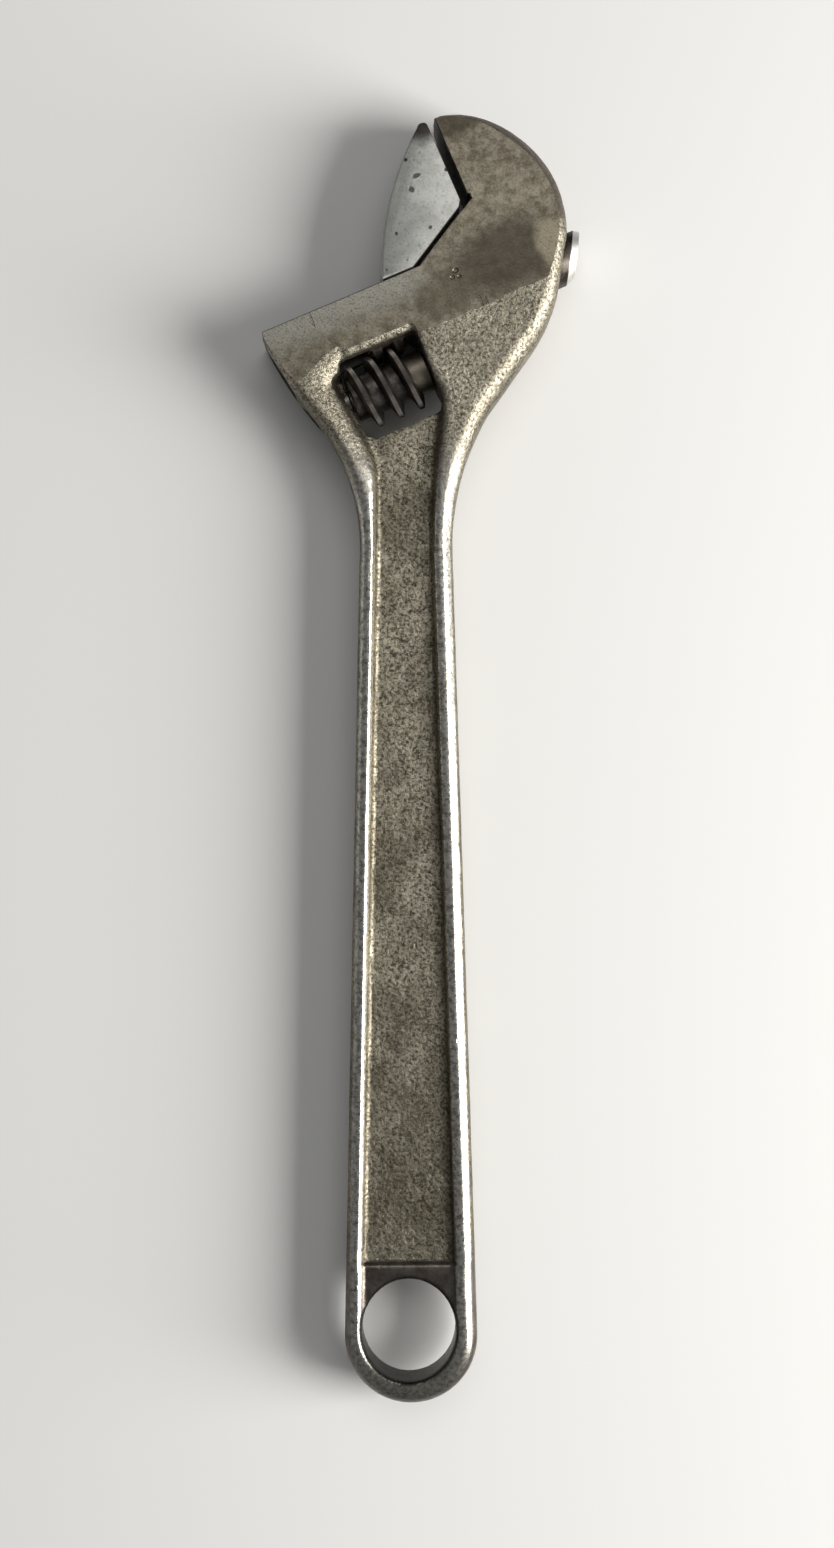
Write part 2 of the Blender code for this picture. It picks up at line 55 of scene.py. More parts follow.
# The eye's radius and how far it sits low, and the handle's half width at the neck.
EYE_R, EYE_DROP, NECK_W = 15.8, 1.4, 11.15
# The recess: its shift sideways, the rims' width, half the web, half the eye's face and its lower end.
SHIFT, RIM_W, WEB_HALF, EYE_HALF, RECESS_END = -0.5, 5.55, 3.0, 4.3, 17.0
HOLE_A, HOLE_B, HOLE_RISE = 11.1, 12.0, 0.5
# The mouth: jaw depth, throat, the slope's run and the shelf's reach.
DEPTH, THROAT, RUN, SHELF = 31.2, 9.7, 16.8, 57.5
# How far the mouth stands open, the gap when shut, the leaf's base and the clearance of a sliding fit.
MOUTH, SHUT, LEAF_BASE, FIT = 2.1, 0.3, 24.4, 0.3
BAR_R, BAR_V, BAR_LEFT, BAR_RIGHT = 5.7, -10.2, -35.6, 18.6
BAR_SLANT = math.tan(math.radians(29))
# The neck between leaf and bar.
NECK_THICK, NECK_FROM, NECK_TO = 7.0, -25.0, -4.2
PITCH, TOOTH_ROOT, TOOTH_TIP, GAPS = 5.3, 2.6, 1.3, 8
CORE, WORM_R, CREST, THREAD_ROOT = 5.2, 8.1, 1.5, 3.2
WORM_LEFT, WORM_RIGHT, FIRST_CREST = -43.3, -23.9, -41.7
THREAD_FROM, THREAD_TO = math.radians(-100), math.radians(965)
KNURLS, KNURL_DEEP = 124, 0.17
WORM_BORE, PIN_R, SCREW_R, PIN_FROM, PIN_TO = 2.4, 2.0, 2.7, -53.0, -17.2
# How much the pin's screwed end and its plain end are chamfered, and the CAD pin's number of sides.
SCREW_EDGE, TIP_EDGE, CAD_SIDES = 0.4, 0.5, 20
SPRING_R, SPRING_WIRE, SPRING_DEEP, SPRING_BORE = 2.9, 0.4, 5.4, 3.8
WORM_V = BAR_V - BAR_R - 0.4 - CORE
RACK_V = WORM_V + WORM_R + FIT
# The worm's window.
WIN_L, WIN_R = WORM_LEFT - FIT, WORM_RIGHT + FIT
WIN_LOW, WIN_TOP = WORM_V - WORM_R - 2.8, WORM_V + WORM_R + 0.4
LEAD = math.atan2(PITCH, 2 * math.pi * 0.94 * WORM_R)


def head(u, v):
    """A point of the head's frame, in the handle's."""
    c, s = math.cos(TILT), math.sin(TILT)
    return (CORNER_X + u * c - v * s, REACH + u * s + v * c)


def neck(x, below):
    """A point that far below the head's corner."""
    return (x, REACH - below)


HEAD_FRAME = Matrix.Translation((*head(0, 0), 0)) @ Matrix.Rotation(TILT, 4, "Z")
ALONG = Matrix(((0, 0, 1, 0), (1, 0, 0, 0), (0, 1, 0, 0), (0, 0, 0, 1)))


def along_u(u, v):
    """A frame at (u, v) whose Z runs along the slide."""
    return HEAD_FRAME @ Matrix.Translation((u, v, 0)) @ ALONG


def ring(at, radius, height, sides):
    """A circle's points about the frame's Z axis."""
    turns = [math.tau * (k + 0.5) / sides for k in range(sides)]
    return [at @ Vector((radius * math.cos(t), radius * math.sin(t), height)) for t in turns]


def origin():
    """Where the handle's frame stands in the CAD model, from the box of the worm's pin there."""
    low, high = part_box("worm_pin")
    ends = (
        (SCREW_R, PIN_FROM + SCREW_EDGE), (SCREW_R - SCREW_EDGE, PIN_FROM),
        (PIN_R, PIN_TO - TIP_EDGE), (PIN_R - TIP_EDGE, PIN_TO),
    )
    rims = [point for radius, u in ends for point in ring(along_u(u, WORM_V), radius, 0, CAD_SIDES)]
    middle = [(min(p[i] for p in rims) + max(p[i] for p in rims)) / 2000 for i in range(3)]
    return (low + high) / 2 - Vector(middle)


ORIGIN = origin()
TO_WORLD = Matrix.Translation(ORIGIN) @ Matrix.Scale(0.001, 4)


# ---------------------------------------------------------------- outlines
def arc(start, via, end, step):
    """Points of the arc through three places, without its start."""
    (ax, ay), (bx, by), (cx, cy) = start, via, end
    d = 2 * (ax * (by - cy) + bx * (cy - ay) + cx * (ay - by))
    a2, b2, c2 = ax * ax + ay * ay, bx * bx + by * by, cx * cx + cy * cy
    ox = (a2 * (by - cy) + b2 * (cy - ay) + c2 * (ay - by)) / d
    oy = (a2 * (cx - bx) + b2 * (ax - cx) + c2 * (bx - ax)) / d
    radius = math.hypot(ax - ox, ay - oy)
    first = math.atan2(ay - oy, ax - ox)
    sweep = (math.atan2(cy - oy, cx - ox) - first) % math.tau
    if (math.atan2(by - oy, bx - ox) - first) % math.tau > sweep:
        sweep -= math.tau
    count = max(3, round(abs(sweep) * radius / step))
    turns = [first + sweep * k / count for k in range(1, count + 1)]
    return [(ox + radius * math.cos(t), oy + radius * math.sin(t)) for t in turns]


def trace(start, edge, legs, step=1.2):
    """An outline as (x, y, edge rounding) from legs of (via or None, end, rounding)."""
    points, here = [(*start, edge)], start
    for via, end, to_edge in legs:
        if via:
            run = arc(here, via, end, step)
        else:
            count = max(1, round(math.dist(here, end) / (4 * step)))
            run = [tuple(a + (b - a) * k / count for a, b in zip(here, end)) for k in range(1, count + 1)]
        for k, (x, y) in enumerate(run, 1):
            points.append((x, y, edge + (to_edge - edge) * k / len(run)))
        here, edge = end, to_edge
    if math.dist(points[0][:2], points[-1][:2]) < 1e-3:
        points.pop()
    return points


def body_outline():
    """The forging's outline, with stock left on the mouth for the cuts that finish it."""
    taper = (EYE_R - NECK_W) / (REACH - 75)
    side = (EYE_R * math.cos(taper), EYE_R * math.sin(taper) - EYE_DROP)
    legs = [
        (None, neck(NECK_W, 75), 3.1),
        (neck(13.15, 55.8), neck(19.8, 40), 3.6),
        (None, neck(30.2, 25.4), 3.8),
        (neck(34.6, 17.4), neck(36.9, 9.3), 3.0),
        (None, neck(38.7, -1.5), 3.6),
        (neck(34.4, -17.2), neck(24.2, -27.5), 6.0),
        (neck(16.2, -30.2), neck(8.7, -30), 2.8),
        (None, head(-1.6, DEPTH), 0.9),
        (None, head(-1.6, THROAT + 2.6), 0.9),
        (None, head(-RUN - 0.5, 1.6), 0.9),
        (None, head(1.4 - SHELF, 1.6), 0.9),
        (head(0.1 - SHELF, 0.1), head(-0.1 - SHELF, -1.5), 1.1),
        (neck(-26.6, 35), neck(-19.4, 44), 2.3),
        (neck(-13.9, 54.7), neck(-NECK_W, 75), 3.0),
        (None, (-side[0], side[1]), 3.0),
        ((0, -EYE_R - EYE_DROP), side, 3.1),
    ]
    return trace(side, 3.1, legs)


def recess_outline():
    """The recess between the rims, ending at the panel's lower end."""
    waist = NECK_W - RIM_W - 0.1
    taper = (EYE_R - NECK_W) / (REACH - 75)
    foot = EYE_R - taper * (RECESS_END + EYE_DROP) - RIM_W
    legs = [
        (None, neck(SHIFT + waist, 74), 0),
        (neck(5.9, 53), neck(7.2, 41), 0),
        (None, head(WIN_R - 1.6, WIN_LOW + 3.4), 0),
        (None, head(WIN_R - 4, WIN_LOW + 14), 0),
        (None, head(WIN_L + 2, WIN_LOW + 16), 0),
        (None, head(WIN_L - 0.6, WIN_LOW + 14.5), 0),
        (head(WIN_L - 0.2, WIN_LOW + 8), head(WIN_L + 0.5, WIN_LOW + 1.5), 0),
        (neck(-6.7, 50.2), neck(-5.85, 58), 0),
        (None, neck(SHIFT - waist, 74), 0),
        (None, (SHIFT - foot, RECESS_END), 0),
    ]
    return trace((SHIFT + foot, RECESS_END), 0, legs)


def eye_outline():
    """The thin face round the hanging hole."""
    wide, top = HOLE_A - 0.9, RECESS_END + 2
    legs = [
        (None, (SHIFT + wide - 0.3, top), 0),
        (None, (SHIFT - wide + 0.3, top), 0),
        (None, (SHIFT - wide, HOLE_RISE), 0),
        ((SHIFT, HOLE_RISE - wide), (SHIFT + wide, HOLE_RISE), 0),
    ]
    return trace((SHIFT + wide, HOLE_RISE), 0, legs)


def window_outline(ease):
    """The worm's window. Its upper edge is eased by that much."""
    top, side = WIN_TOP + 1.4 * ease, WIN_L - 0.4 * ease
    right, low = WIN_R + 0.25 * ease, WIN_LOW - 0.1 * ease
    corners = [
        (side + 2, low), (right - 1.6, low), (right, low + 2.2), (right, top - 0.7),
        (right - 0.7, top), (side + 1, top), (side + 0.4, top - 0.6),
        (side - 0.5, top - 5.5), (side - 0.6, low + 8), (side, low + 2),
    ]
    return [(*head(u, v), 0) for u, v in corners]


# ---------------------------------------------------------------- the forging as a field
X0, Y0, X1, Y1 = -36.0, -20.0, 41.0, 290.0
FINE, CELL, LAYERS = 0.4, (0.55, 0.62, 0.5), 22
DRAFT, EDGE_FALL = 0.05, 1.2
# Half thickness of the rough forging at places along v.
ROUGH_V = (-REACH, -46, -30, -14, -8, 6, DEPTH)
ROUGH_HALF = (END_HALF, NECK_HALF, 8.0, 9.52, 9.95, 10.6, 8.5)
# How the recess's wall and the eye's face climb with the distance out: a factor and a power.
WALL_CLIMB, FACE_CLIMB, CLIMB_MAX = (0.97, 2.2), (0.6, 1.9), 9
# Where the window's edge starts to open, and over what height.
EASE_FROM, EASE_OVER = 8.4, 1.1
TINY = 1e-9


def signed_distance(outline, xs, ys):
    """Distance inside the outline, and the rounding carried by the nearest side."""
    X, Y = np.meshgrid(xs, ys, indexing="ij")
    near, carried = np.full(X.shape, 1e9), np.zeros(X.shape)
    inside = np.zeros(X.shape, bool)
    for (ax, ay, ae), (bx, by, be) in zip(outline, outline[1:] + outline[:1]):
        dx, dy = bx - ax, by - ay
        t = np.clip(((X - ax) * dx + (Y - ay) * dy) / (dx * dx + dy * dy), 0, 1)
        gap = (X - ax - t * dx) ** 2 + (Y - ay - t * dy) ** 2
        closer = gap < near
        near[closer] = gap[closer]
        carried[closer] = (ae + (be - ae) * t)[closer]
        if dy:
            crossed = ((ay > Y) != (by > Y)) & (X < ax + dx * (Y - ay) / dy)
            inside ^= crossed
    return np.where(inside, 1, -1) * np.sqrt(near), carried


def make_fields():
    """Grids of the distance to each outline: inside the body, outside the others."""
    xs, ys = np.arange(X0, X1, FINE), np.arange(Y0, Y1, FINE)
    side, edge = signed_distance(body_outline(), xs, ys)
    kept = {"side": side, "edge": edge}
    for name, outline in (
        ("recess", recess_outline()),
        ("eye", eye_outline()),
        ("window", window_outline(0)),
        ("window_top", window_outline(1)),
    ):
        kept[name] = -signed_distance(outline, xs, ys)[0]
    return kept


FIELDS = make_fields()


def look_up(x, y):
    """All the fields at these points, by bilinear interpolation."""
    fx, fy = (x - X0) / FINE, (y - Y0) / FINE
    shape = FIELDS["side"].shape
    i, j = np.clip(fx.astype(int), 0, shape[0] - 2), np.clip(fy.astype(int), 0, shape[1] - 2)
    a, b = fx - i, fy - j
    corners = ((0, 0, 1 - a, 1 - b), (1, 0, a, 1 - b), (0, 1, 1 - a, b), (1, 1, a, b))
    return {
        name: sum(field[i + di, j + dj] * along * across for di, dj, along, across in corners)
        for name, field in FIELDS.items()
    }


def softer(a, b, k):
    """The smaller of two distances, rounded over k where they meet."""
    h = np.clip(0.5 + 0.5 * (b - a) / k, 0, 1)
    return b + (a - b) * h - k * h * (1 - h)


def under_slope(start, climb, out, tall):
    """Distance below a surface that starts at this height and climbs with the distance out."""
    factor, power = climb
    out = np.clip(out, 0, CLIMB_MAX)
    steep = factor * power * out ** (power - 1)
    return (start + factor * out**power - tall) / np.sqrt(1 + steep**2)


def forging_value(x, y, z):
    """Roughly the distance inside the forging, for arrays of points."""
    f = look_up(x, y)
    tall = np.abs(z)
    u = (x - CORNER_X) * math.cos(TILT) + (y - REACH) * math.sin(TILT)
    v = (y - REACH) * math.cos(TILT) - (x - CORNER_X) * math.sin(TILT)
    half = np.interp(v, ROUGH_V, ROUGH_HALF)
    edge = f["edge"]
    fall = np.minimum(EDGE_FALL * edge, half)
    q = np.clip(1 - (f["side"] - DRAFT * tall) / edge, 0, None)
    p = np.clip(1 - (half - tall) / fall, 0, None)
    r2 = q * q + p * p + TINY
    value = (1 - np.sqrt(r2)) * (q * q * edge + p * p * fall + TINY * edge) / r2
    by_window = np.clip((y - 198) / 10, 0, 1) * np.clip((WIN_L + 6 - u) / 4, 0, 1)
    value = softer(value, under_slope(WEB_HALF, WALL_CLIMB, f["recess"], tall), 1.5 + 3.0 * by_window)
    value = softer(value, under_slope(EYE_HALF, FACE_CLIMB, f["eye"], tall), 0.7)
    rho = np.sqrt(((x - SHIFT) / HOLE_A) ** 2 + ((y - HOLE_RISE) / HOLE_B) ** 2)
    value = softer(value, (rho - 1) * HOLE_A, 0.9)
    ease = np.clip((tall - EASE_FROM) / EASE_OVER, 0, 1.3) ** 1.3
    opening = f["window"] * (1 - ease) + f["window_top"] * ease
    return softer(value, opening, 0.35)


def surface_net(values, low, cell):
    """Vertices and quads of the zero surface of a grid of values, positive inside."""
    inside = values > 0
    corners = [(a, b, c) for a in (0, 1) for b in (0, 1) for c in (0, 1)]
    n = np.array(values.shape) - 1
    part = {k: inside[k[0]:k[0] + n[0], k[1]:k[1] + n[1], k[2]:k[2] + n[2]] for k in corners}
    total = sum(p.astype(np.int8) for p in part.values())
    cells = np.argwhere((total > 0) & (total < 8))
    index = np.full(n, -1)
    index[tuple(cells.T)] = np.arange(len(cells))
    place, hits = np.zeros((len(cells), 3)), np.zeros(len(cells))
    for axis in range(3):
        for start in [k for k in corners if k[axis] == 0]:
            end = list(start)
            end[axis] = 1
            a = values[tuple((cells + start).T)]
            b = values[tuple((cells + end).T)]
            cross = (a > 0) != (b > 0)
            t = np.where(cross, a / np.where(cross, a - b, 1), 0)
            point = cells + np.array(start, float)
            point[:, axis] += t
            place += point * cross[:, None]
            hits += cross
    place = place / hits[:, None] * cell + low
    quads = []
    for axis in range(3):
        b, c = (axis + 1) % 3, (axis + 2) % 3
        one, two = [slice(None)] * 3, [slice(None)] * 3
        one[axis], two[axis] = slice(None, -1), slice(1, None)
        change = np.argwhere(inside[tuple(one)] != inside[tuple(two)])
        above = (change[:, b] > 0) & (change[:, c] > 0)
        change = change[above & (change[:, b] < n[b]) & (change[:, c] < n[c])]
        corner = []
        for db, dc in ((-1, -1), (0, -1), (0, 0), (-1, 0)):
            at = change.copy()
            at[:, b] += db
            at[:, c] += dc
            corner.append(index[tuple(at.T)])
        quad = np.stack(corner, 1)
        out = inside[tuple(change.T)]
        quad[~out] = quad[~out][:, ::-1]
        quads.append(quad)
    return place, np.concatenate(quads)


def settle_on(points):
    """Moves the points onto the forging's own surface, and gives the slope there."""
    reach = 0.12
    for _ in range(3):
        here = forging_value(*points.T)
        slope = np.zeros(points.shape)
        for axis in range(3):
            step = np.zeros(3)
            step[axis] = reach
            ahead, back = forging_value(*(points + step).T), forging_value(*(points - step).T)
            slope[:, axis] = (ahead - back) / (2 * reach)
        size = (slope**2).sum(1)
        move = -here[:, None] * slope / np.maximum(size, 0.05)[:, None]
        far = np.linalg.norm(move, axis=1)
        points = points + move * np.minimum(1, 0.3 / np.maximum(far, TINY))[:, None]
    return points, slope / np.sqrt(np.maximum(size, TINY))[:, None]


def forging():
    """The rough forging as a mesh, in millimetres."""
    xs = np.arange(X0 + 1, X1 - 1, CELL[0])
    ys = np.arange(Y0 + 1, Y1 - 1, CELL[1])
    zs = np.arange(-LAYERS, LAYERS + 1) * CELL[2]
    half = zs[zs >= 0]
    X, Y = np.meshgrid(xs, ys, indexing="ij")
    flat = np.stack([forging_value(X, Y, np.full(X.shape, z)) for z in half], 2)
    values = np.concatenate([flat[:, :, :0:-1], flat], 2)
    points, quads = surface_net(values, np.array((xs[0], ys[0], zs[0])), np.array(CELL))
    points, slope = settle_on(points)
    lumps = np.array([
        0.055 * noise.noise(Vector(p) * 0.16) + 0.045 * noise.noise(Vector(p) * 0.42 + Vector((9, 4, 2)))
        + 0.03 * noise.noise(Vector(p) * 0.95)
        for p in points
    ])
    calm = np.clip((points[:, 1] - 14) / 8, 0.25, 1)
    points = points - slope * (lumps * calm)[:, None]
    mesh = bpy.data.meshes.new("body_forged")
    mesh.from_pydata(points.tolist(), [], quads.tolist())
    mesh.update()
    return mesh


# ---------------------------------------------------------------- mesh helpers
SHARP = 32  # degrees between faces that keep a hard edge


def new_object(name, mesh):
    """Links a mesh into the scene."""
    obj = bpy.data.objects.new(name, mesh)
    bpy.context.scene.collection.objects.link(obj)
    return obj


def loft(bm, rings, mark=0):
    """Joins rings of points and closes both ends."""
    made = [[bm.verts.new(p) for p in ring] for ring in rings]
    for low, high in zip(made, made[1:]):
        for i in range(len(low)):
            j = (i + 1) % len(low)
            bm.faces.new((low[i], low[j], high[j], high[i])).material_index = mark
    bm.faces.new(list(reversed(made[0]))).material_index = mark
    bm.faces.new(made[-1]).material_index = mark


def tool(name, bm, materials):
    """A closed helper mesh, its faces turned out."""
    bmesh.ops.recalc_face_normals(bm, faces=bm.faces)
    mesh = bpy.data.meshes.new(name)
    bm.to_mesh(mesh)
    bm.free()
    for material in materials:
        mesh.materials.append(material)
    return new_object(name, mesh)


def lathe(bm, at, profile, sides, mark=0):
    """A round solid on the frame's Z axis from (radius, height) pairs."""
    loft(bm, [ring(at, radius, z, sides) for radius, z in profile], mark)


def prism(bm, corners, low, high, mark):
    """A flat shape of the head's frame, raised between two heights."""
    loft(bm, [[(*head(u, v), z) for u, v in corners] for z in (low, high)], mark)


def combine(obj, steps):
    """Applies booleans with (operation, tool) in turn, and removes the tools."""
    for operation, other in steps:
        cut = obj.modifiers.new(other.name, "BOOLEAN")
        cut.operation, cut.solver, cut.object = operation, "MANIFOLD", other
        cut.material_mode = "TRANSFER"
    bpy.context.view_layer.update()
    graph = bpy.context.evaluated_depsgraph_get()
    made = bpy.data.meshes.new_from_object(obj.evaluated_get(graph))
    obj.modifiers.clear()
    old, obj.data = obj.data, made
    bpy.data.meshes.remove(old)
    for _, other in steps:
        bpy.data.objects.remove(other, do_unlink=True)


def finish_piece(obj, body, node):
    """Puts a piece in world coordinates, shades it and hands it to its body."""
    mesh = obj.data
    mesh.transform(TO_WORLD)
    mesh.shade_smooth()
    mesh.set_sharp_from_angle(angle=math.radians(SHARP))
    marks = np.zeros(len(mesh.polygons), np.int32)
    mesh.polygons.foreach_get("material_index", marks)
    if marks.any() and marks.min() != marks.max():
        bm = bmesh.new()
        bm.from_mesh(mesh)
        for edge in bm.edges:
            if len({f.material_index for f in edge.link_faces}) > 1:
                edge.smooth = False
        bm.to_mesh(mesh)
        bm.free()
    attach(obj, body)
    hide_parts(node)
    return obj


# ---------------------------------------------------------------- materials
class Graph:
    """A material's nodes, wired up one step at a time, in millimetres of the handle's frame."""

    def __init__(self, name):
        self.material = bpy.data.materials.new(name)
        self.material.use_nodes = True
        self.tree = self.material.node_tree
        self.shader = self.tree.nodes["Principled BSDF"]
        place = self.tree.nodes.new("ShaderNodeTexCoord").outputs["Object"]
        self.at = self.mapped(place, scale=(1000, 1000, 1000), move=tuple(-1000 * c for c in ORIGIN))
        x, y = head(0, 0)
        c, s = math.cos(TILT), math.sin(TILT)
        self.at_head = self.mapped(self.at, turn=-TILT, move=(-c * x - s * y, s * x - c * y, 0))

    def node(self, kind, inputs=None, **settings):
        made = self.tree.nodes.new(kind)
        for name, value in settings.items():
            setattr(made, name, value)
        for key, value in (inputs or {}).items():
            self.put(made.inputs[key], value)
        return made

    def put(self, socket, value):
        if isinstance(value, bpy.types.NodeSocket):
            self.tree.links.new(value, socket)
        else:
            socket.default_value = value

    def mapped(self, vector, scale=(1, 1, 1), turn=0.0, move=(0, 0, 0)):
        settings = {"Vector": vector, "Scale": scale, "Rotation": (0, 0, turn), "Location": move}
        return self.node("ShaderNodeMapping", settings).outputs[0]

    def noise(self, scale, detail=3.0, rough=0.5, at=None, bend=0.0):
        settings = {"Vector": at or self.at, "Scale": scale, "Detail": detail}
        settings.update({"Roughness": rough, "Distortion": bend})
        return self.node("ShaderNodeTexNoise", settings).outputs[0]

    def cells(self, scale, at=None):
        settings = {"Vector": at or self.at, "Scale": scale}
        return self.node("ShaderNodeTexVoronoi", settings).outputs["Distance"]

    def math(self, operation, a, b=0.0, c=0.0):
        return self.node("ShaderNodeMath", {0: a, 1: b, 2: c}, operation=operation).outputs[0]

    def step(self, value, start, end, low=0.0, high=1.0):
        settings = {"Value": value, "From Min": start, "From Max": end, "To Min": low, "To Max": high}
        return self.node("ShaderNodeMapRange", settings, interpolation_type="SMOOTHSTEP").outputs[0]

    def vectors(self, operation, *inputs):
        return self.node("ShaderNodeVectorMath", dict(enumerate(inputs)), operation=operation).outputs

    def blend(self, share, a, b):
        made = self.node("ShaderNodeMix", {0: share}, data_type="RGBA")
        for socket, value in ((made.inputs[6], a), (made.inputs[7], b)):
            self.put(socket, (*value, 1) if isinstance(value, tuple) else value)
        return made.outputs[2]

    def tint(self, under, where, strength, over):
        """Lays a colour over another, as strongly as the mask times the strength."""
        return self.blend(self.math("MULTIPLY", where, strength), under, over)

    def axes(self, vector):
        return self.node("ShaderNodeSeparateXYZ", {0: vector}).outputs

    def away(self, vector, centre, reach):
        """How far a point of the plane is from the centre, 1 at the reach."""
        shrink = (1 / reach[0], 1 / reach[1], 0)
        gap = self.vectors("SUBTRACT", vector, (*centre, 0))[0]
        return self.vectors("LENGTH", self.vectors("MULTIPLY", gap, shrink)[0])["Value"]

    def spot(self, vector, centre, reach, ragged=0.0, scale=0.3):
        """1 near a point of the plane and 0 beyond its reach, with a ragged edge."""
        away = self.away(vector, centre, reach)
        if ragged:
            stray = self.math("SUBTRACT", self.noise(scale, 5, 0.6), 0.5)
            away = self.math("MULTIPLY_ADD", stray, ragged, away)
        return self.step(away, 0.55, 1.15, 1.0, 0.0)

    def bump(self, height, distance, under=None):
        settings = {"Height": height, "Distance": distance / 1000, "Strength": 1.0}
        if under:
            settings["Normal"] = under
        return self.node("ShaderNodeBump", settings).outputs[0]

    def done(self, colour, roughness, normal):
        self.put(self.shader.inputs["Base Color"], colour)
        self.put(self.shader.inputs["Roughness"], roughness)
        self.put(self.shader.inputs["Normal"], normal)
        self.shader.inputs["Metallic"].default_value = 1.0
        return self.material


def forged_steel():
    """As forged: grainy and olive grey, polished by hands along the rims."""
    g = Graph("forged_steel")
    _, y, z = g.axes(g.at)
    tall = g.math("ABSOLUTE", z)
    rim = g.math("MULTIPLY", g.step(tall, 4.2, 5.4), g.step(y, 192, 214, 1, 0))
    eye = g.step(y, 16.3, 17.1, 1, 0)
    grain = g.noise(1.5, 4, 0.76)
    pits = g.step(g.noise(1.2, 4, 0.72), 0.38, 0.48)
    patches = g.step(g.noise(0.075, 5, 0.62, bend=0.4), 0.36, 0.66)
    colour = g.blend(patches, (0.215, 0.193, 0.142), (0.41, 0.375, 0.29))
    colour = g.blend(g.step(grain, 0.37, 0.57), (0.055, 0.047, 0.034), colour)
    colour = g.blend(pits, g.blend(0.7, colour, (0.035, 0.03, 0.022)), colour)
    # Painted shade: the handle is darkened towards the eye end.
    colour = g.blend(g.step(y, 15, 150, 0.35, 0.0), colour, (0.07, 0.058, 0.042))
    shoulder = g.math("MULTIPLY", g.step(tall, 5.0, 7.0), g.step(y, 196, 214))
    pale = g.blend(g.step(grain, 0.36, 0.62), (0.09, 0.079, 0.06), (0.4, 0.373, 0.303))
    colour = g.tint(colour, shoulder, 0.4, pale)
    # Painted shade: the forged surfaces towards the jaw tips, the fixed jaw's back among them, are
    # painted dark brown.
    back = g.step(g.axes(g.at_head)[1], -5, -1, 0, 0.85)
    colour = g.blend(back, colour, g.blend(patches, (0.06, 0.047, 0.036), (0.12, 0.1, 0.08)))
    wear_and_painted_highlight = g.step(g.noise(0.9, 6, 0.76), 0.36, 0.6)
    bright = g.blend(wear_and_painted_highlight, (0.2, 0.185, 0.16), (0.64, 0.622, 0.575))
    colour = g.tint(colour, rim, g.step(y, -16, 4, 0.35, 0.9), bright)
    stain = g.step(g.noise(0.25, 5, 0.65), 0.35, 0.65)
    dull = g.blend(stain, (0.07, 0.058, 0.05), (0.15, 0.135, 0.12))
    colour = g.tint(colour, eye, g.step(tall, 4.7, 5.3, 0.92, 0.1), dull)
    # Painted shade: the hanging hole's wall is painted nearly black.
    hole = g.step(g.away(g.at, (SHIFT, HOLE_RISE), (HOLE_A, HOLE_B)), 1.03, 1.1, 0.8, 0)
    colour = g.blend(hole, colour, (0.035, 0.03, 0.025))
    rust = g.step(g.noise(0.19, 6, 0.7, at=g.mapped(g.at, move=(31, 7, 3))), 0.66, 0.72)
    colour = g.tint(colour, rust, 0.55, (0.12, 0.06, 0.03))
    worn = g.math("MAXIMUM", rim, g.math("MULTIPLY", eye, 0.8))
    rough = g.math("MULTIPLY_ADD", worn, -0.2, g.step(grain, 0.3, 0.7, 0.54, 0.42))
    keep = g.math("MULTIPLY_ADD", worn, -0.85, 1.0)
    coarse = g.bump(g.math("MULTIPLY", g.noise(0.7, 3, 0.55), keep), 0.2)
    fine = g.bump(g.math("MULTIPLY", grain, keep), 0.13, coarse)
    nicks = g.bump(g.step(g.cells(0.33, g.mapped(g.at, scale=(1, 0.5, 1))), 0.05, 0.13), 0.035, fine)
    return g.done(colour, rough, nicks)


def ground_steel():
    """The head's ground faces: smooth, painted dark brown about the throat as a reflection, and mottled
    on the jaw.
    """
    g = Graph("ground_steel")
    u, v, _ = g.axes(g.at_head)
    speck = g.noise(1.9, 3, 0.6)
    mottle = g.noise(0.4, 8, 0.8)
    lines = g.noise(1.0, 4, 0.6, at=g.mapped(g.at_head, scale=(0.16, 3.2, 1)))
    colour = g.blend(g.step(mottle, 0.34, 0.64), (0.098, 0.084, 0.06), (0.208, 0.188, 0.147))
    wing = g.blend(speck, (0.17, 0.16, 0.135), (0.3, 0.29, 0.255))
    colour = g.tint(colour, g.step(u, -12, -24), g.step(v, -9, -2), wing)
    # Painted reflection: a dark brown patch where the face below the throat mirrors the dark above it.
    dark = g.spot(g.at_head, (3.5, -5.8), (17, 9.6), 0.22, 0.2)
    painted_dark_reflection = g.blend(mottle, (0.04, 0.034, 0.026), (0.074, 0.064, 0.05))
    colour = g.tint(colour, dark, 0.92, painted_dark_reflection)
    low = g.spot(g.at_head, (-14, -8.5), (9, 5.5), 0.7, 0.2)
    colour = g.tint(colour, low, 0.6, (0.09, 0.078, 0.056))
    tip = g.spot(g.at_head, (4, 30), (10, 6.5), 0.8, 0.3)
    colour = g.tint(colour, tip, 0.75, (0.04, 0.033, 0.024))
    pale = g.spot(g.at_head, (14, -7), (4.2, 6.5), 0.7, 0.35)
    colour = g.tint(colour, pale, 0.7, (0.26, 0.23, 0.165))
    colour = g.blend(g.step(speck, 0.28, 0.5, 0.6, 0.0), colour, (0.055, 0.046, 0.034))
    rough = g.math("MULTIPLY_ADD", dark, -0.06, g.step(mottle, 0.3, 0.7, 0.42, 0.34))
    broad = g.bump(g.noise(0.3, 3, 0.5), 0.06)
    grain = g.bump(speck, 0.035, broad)
    return g.done(colour, rough, g.bump(lines, 0.014, dents(g, grain)))


def dents(g, under):
    """Small knocks in the head's face."""
    normal = under
    for centre, reach, deep in (
        ((-9.6, -4.4), (0.75, 0.6), 0.16),
        ((-10.9, -5.6), (0.6, 0.5), 0.13),
        ((-9.3, -6.0), (0.5, 0.45), 0.12),
        ((-6.8, -13.2), (0.28, 1.3), 0.14),
        ((-5.6, -13.7), (0.22, 1.1), 0.12),
        ((-45.0, -1.6), (0.22, 2.4), 0.12),
    ):
        hole = g.spot(g.at_head, centre, reach)
        normal = g.bump(g.math("SUBTRACT", 1.0, hole), deep, normal)
    return normal


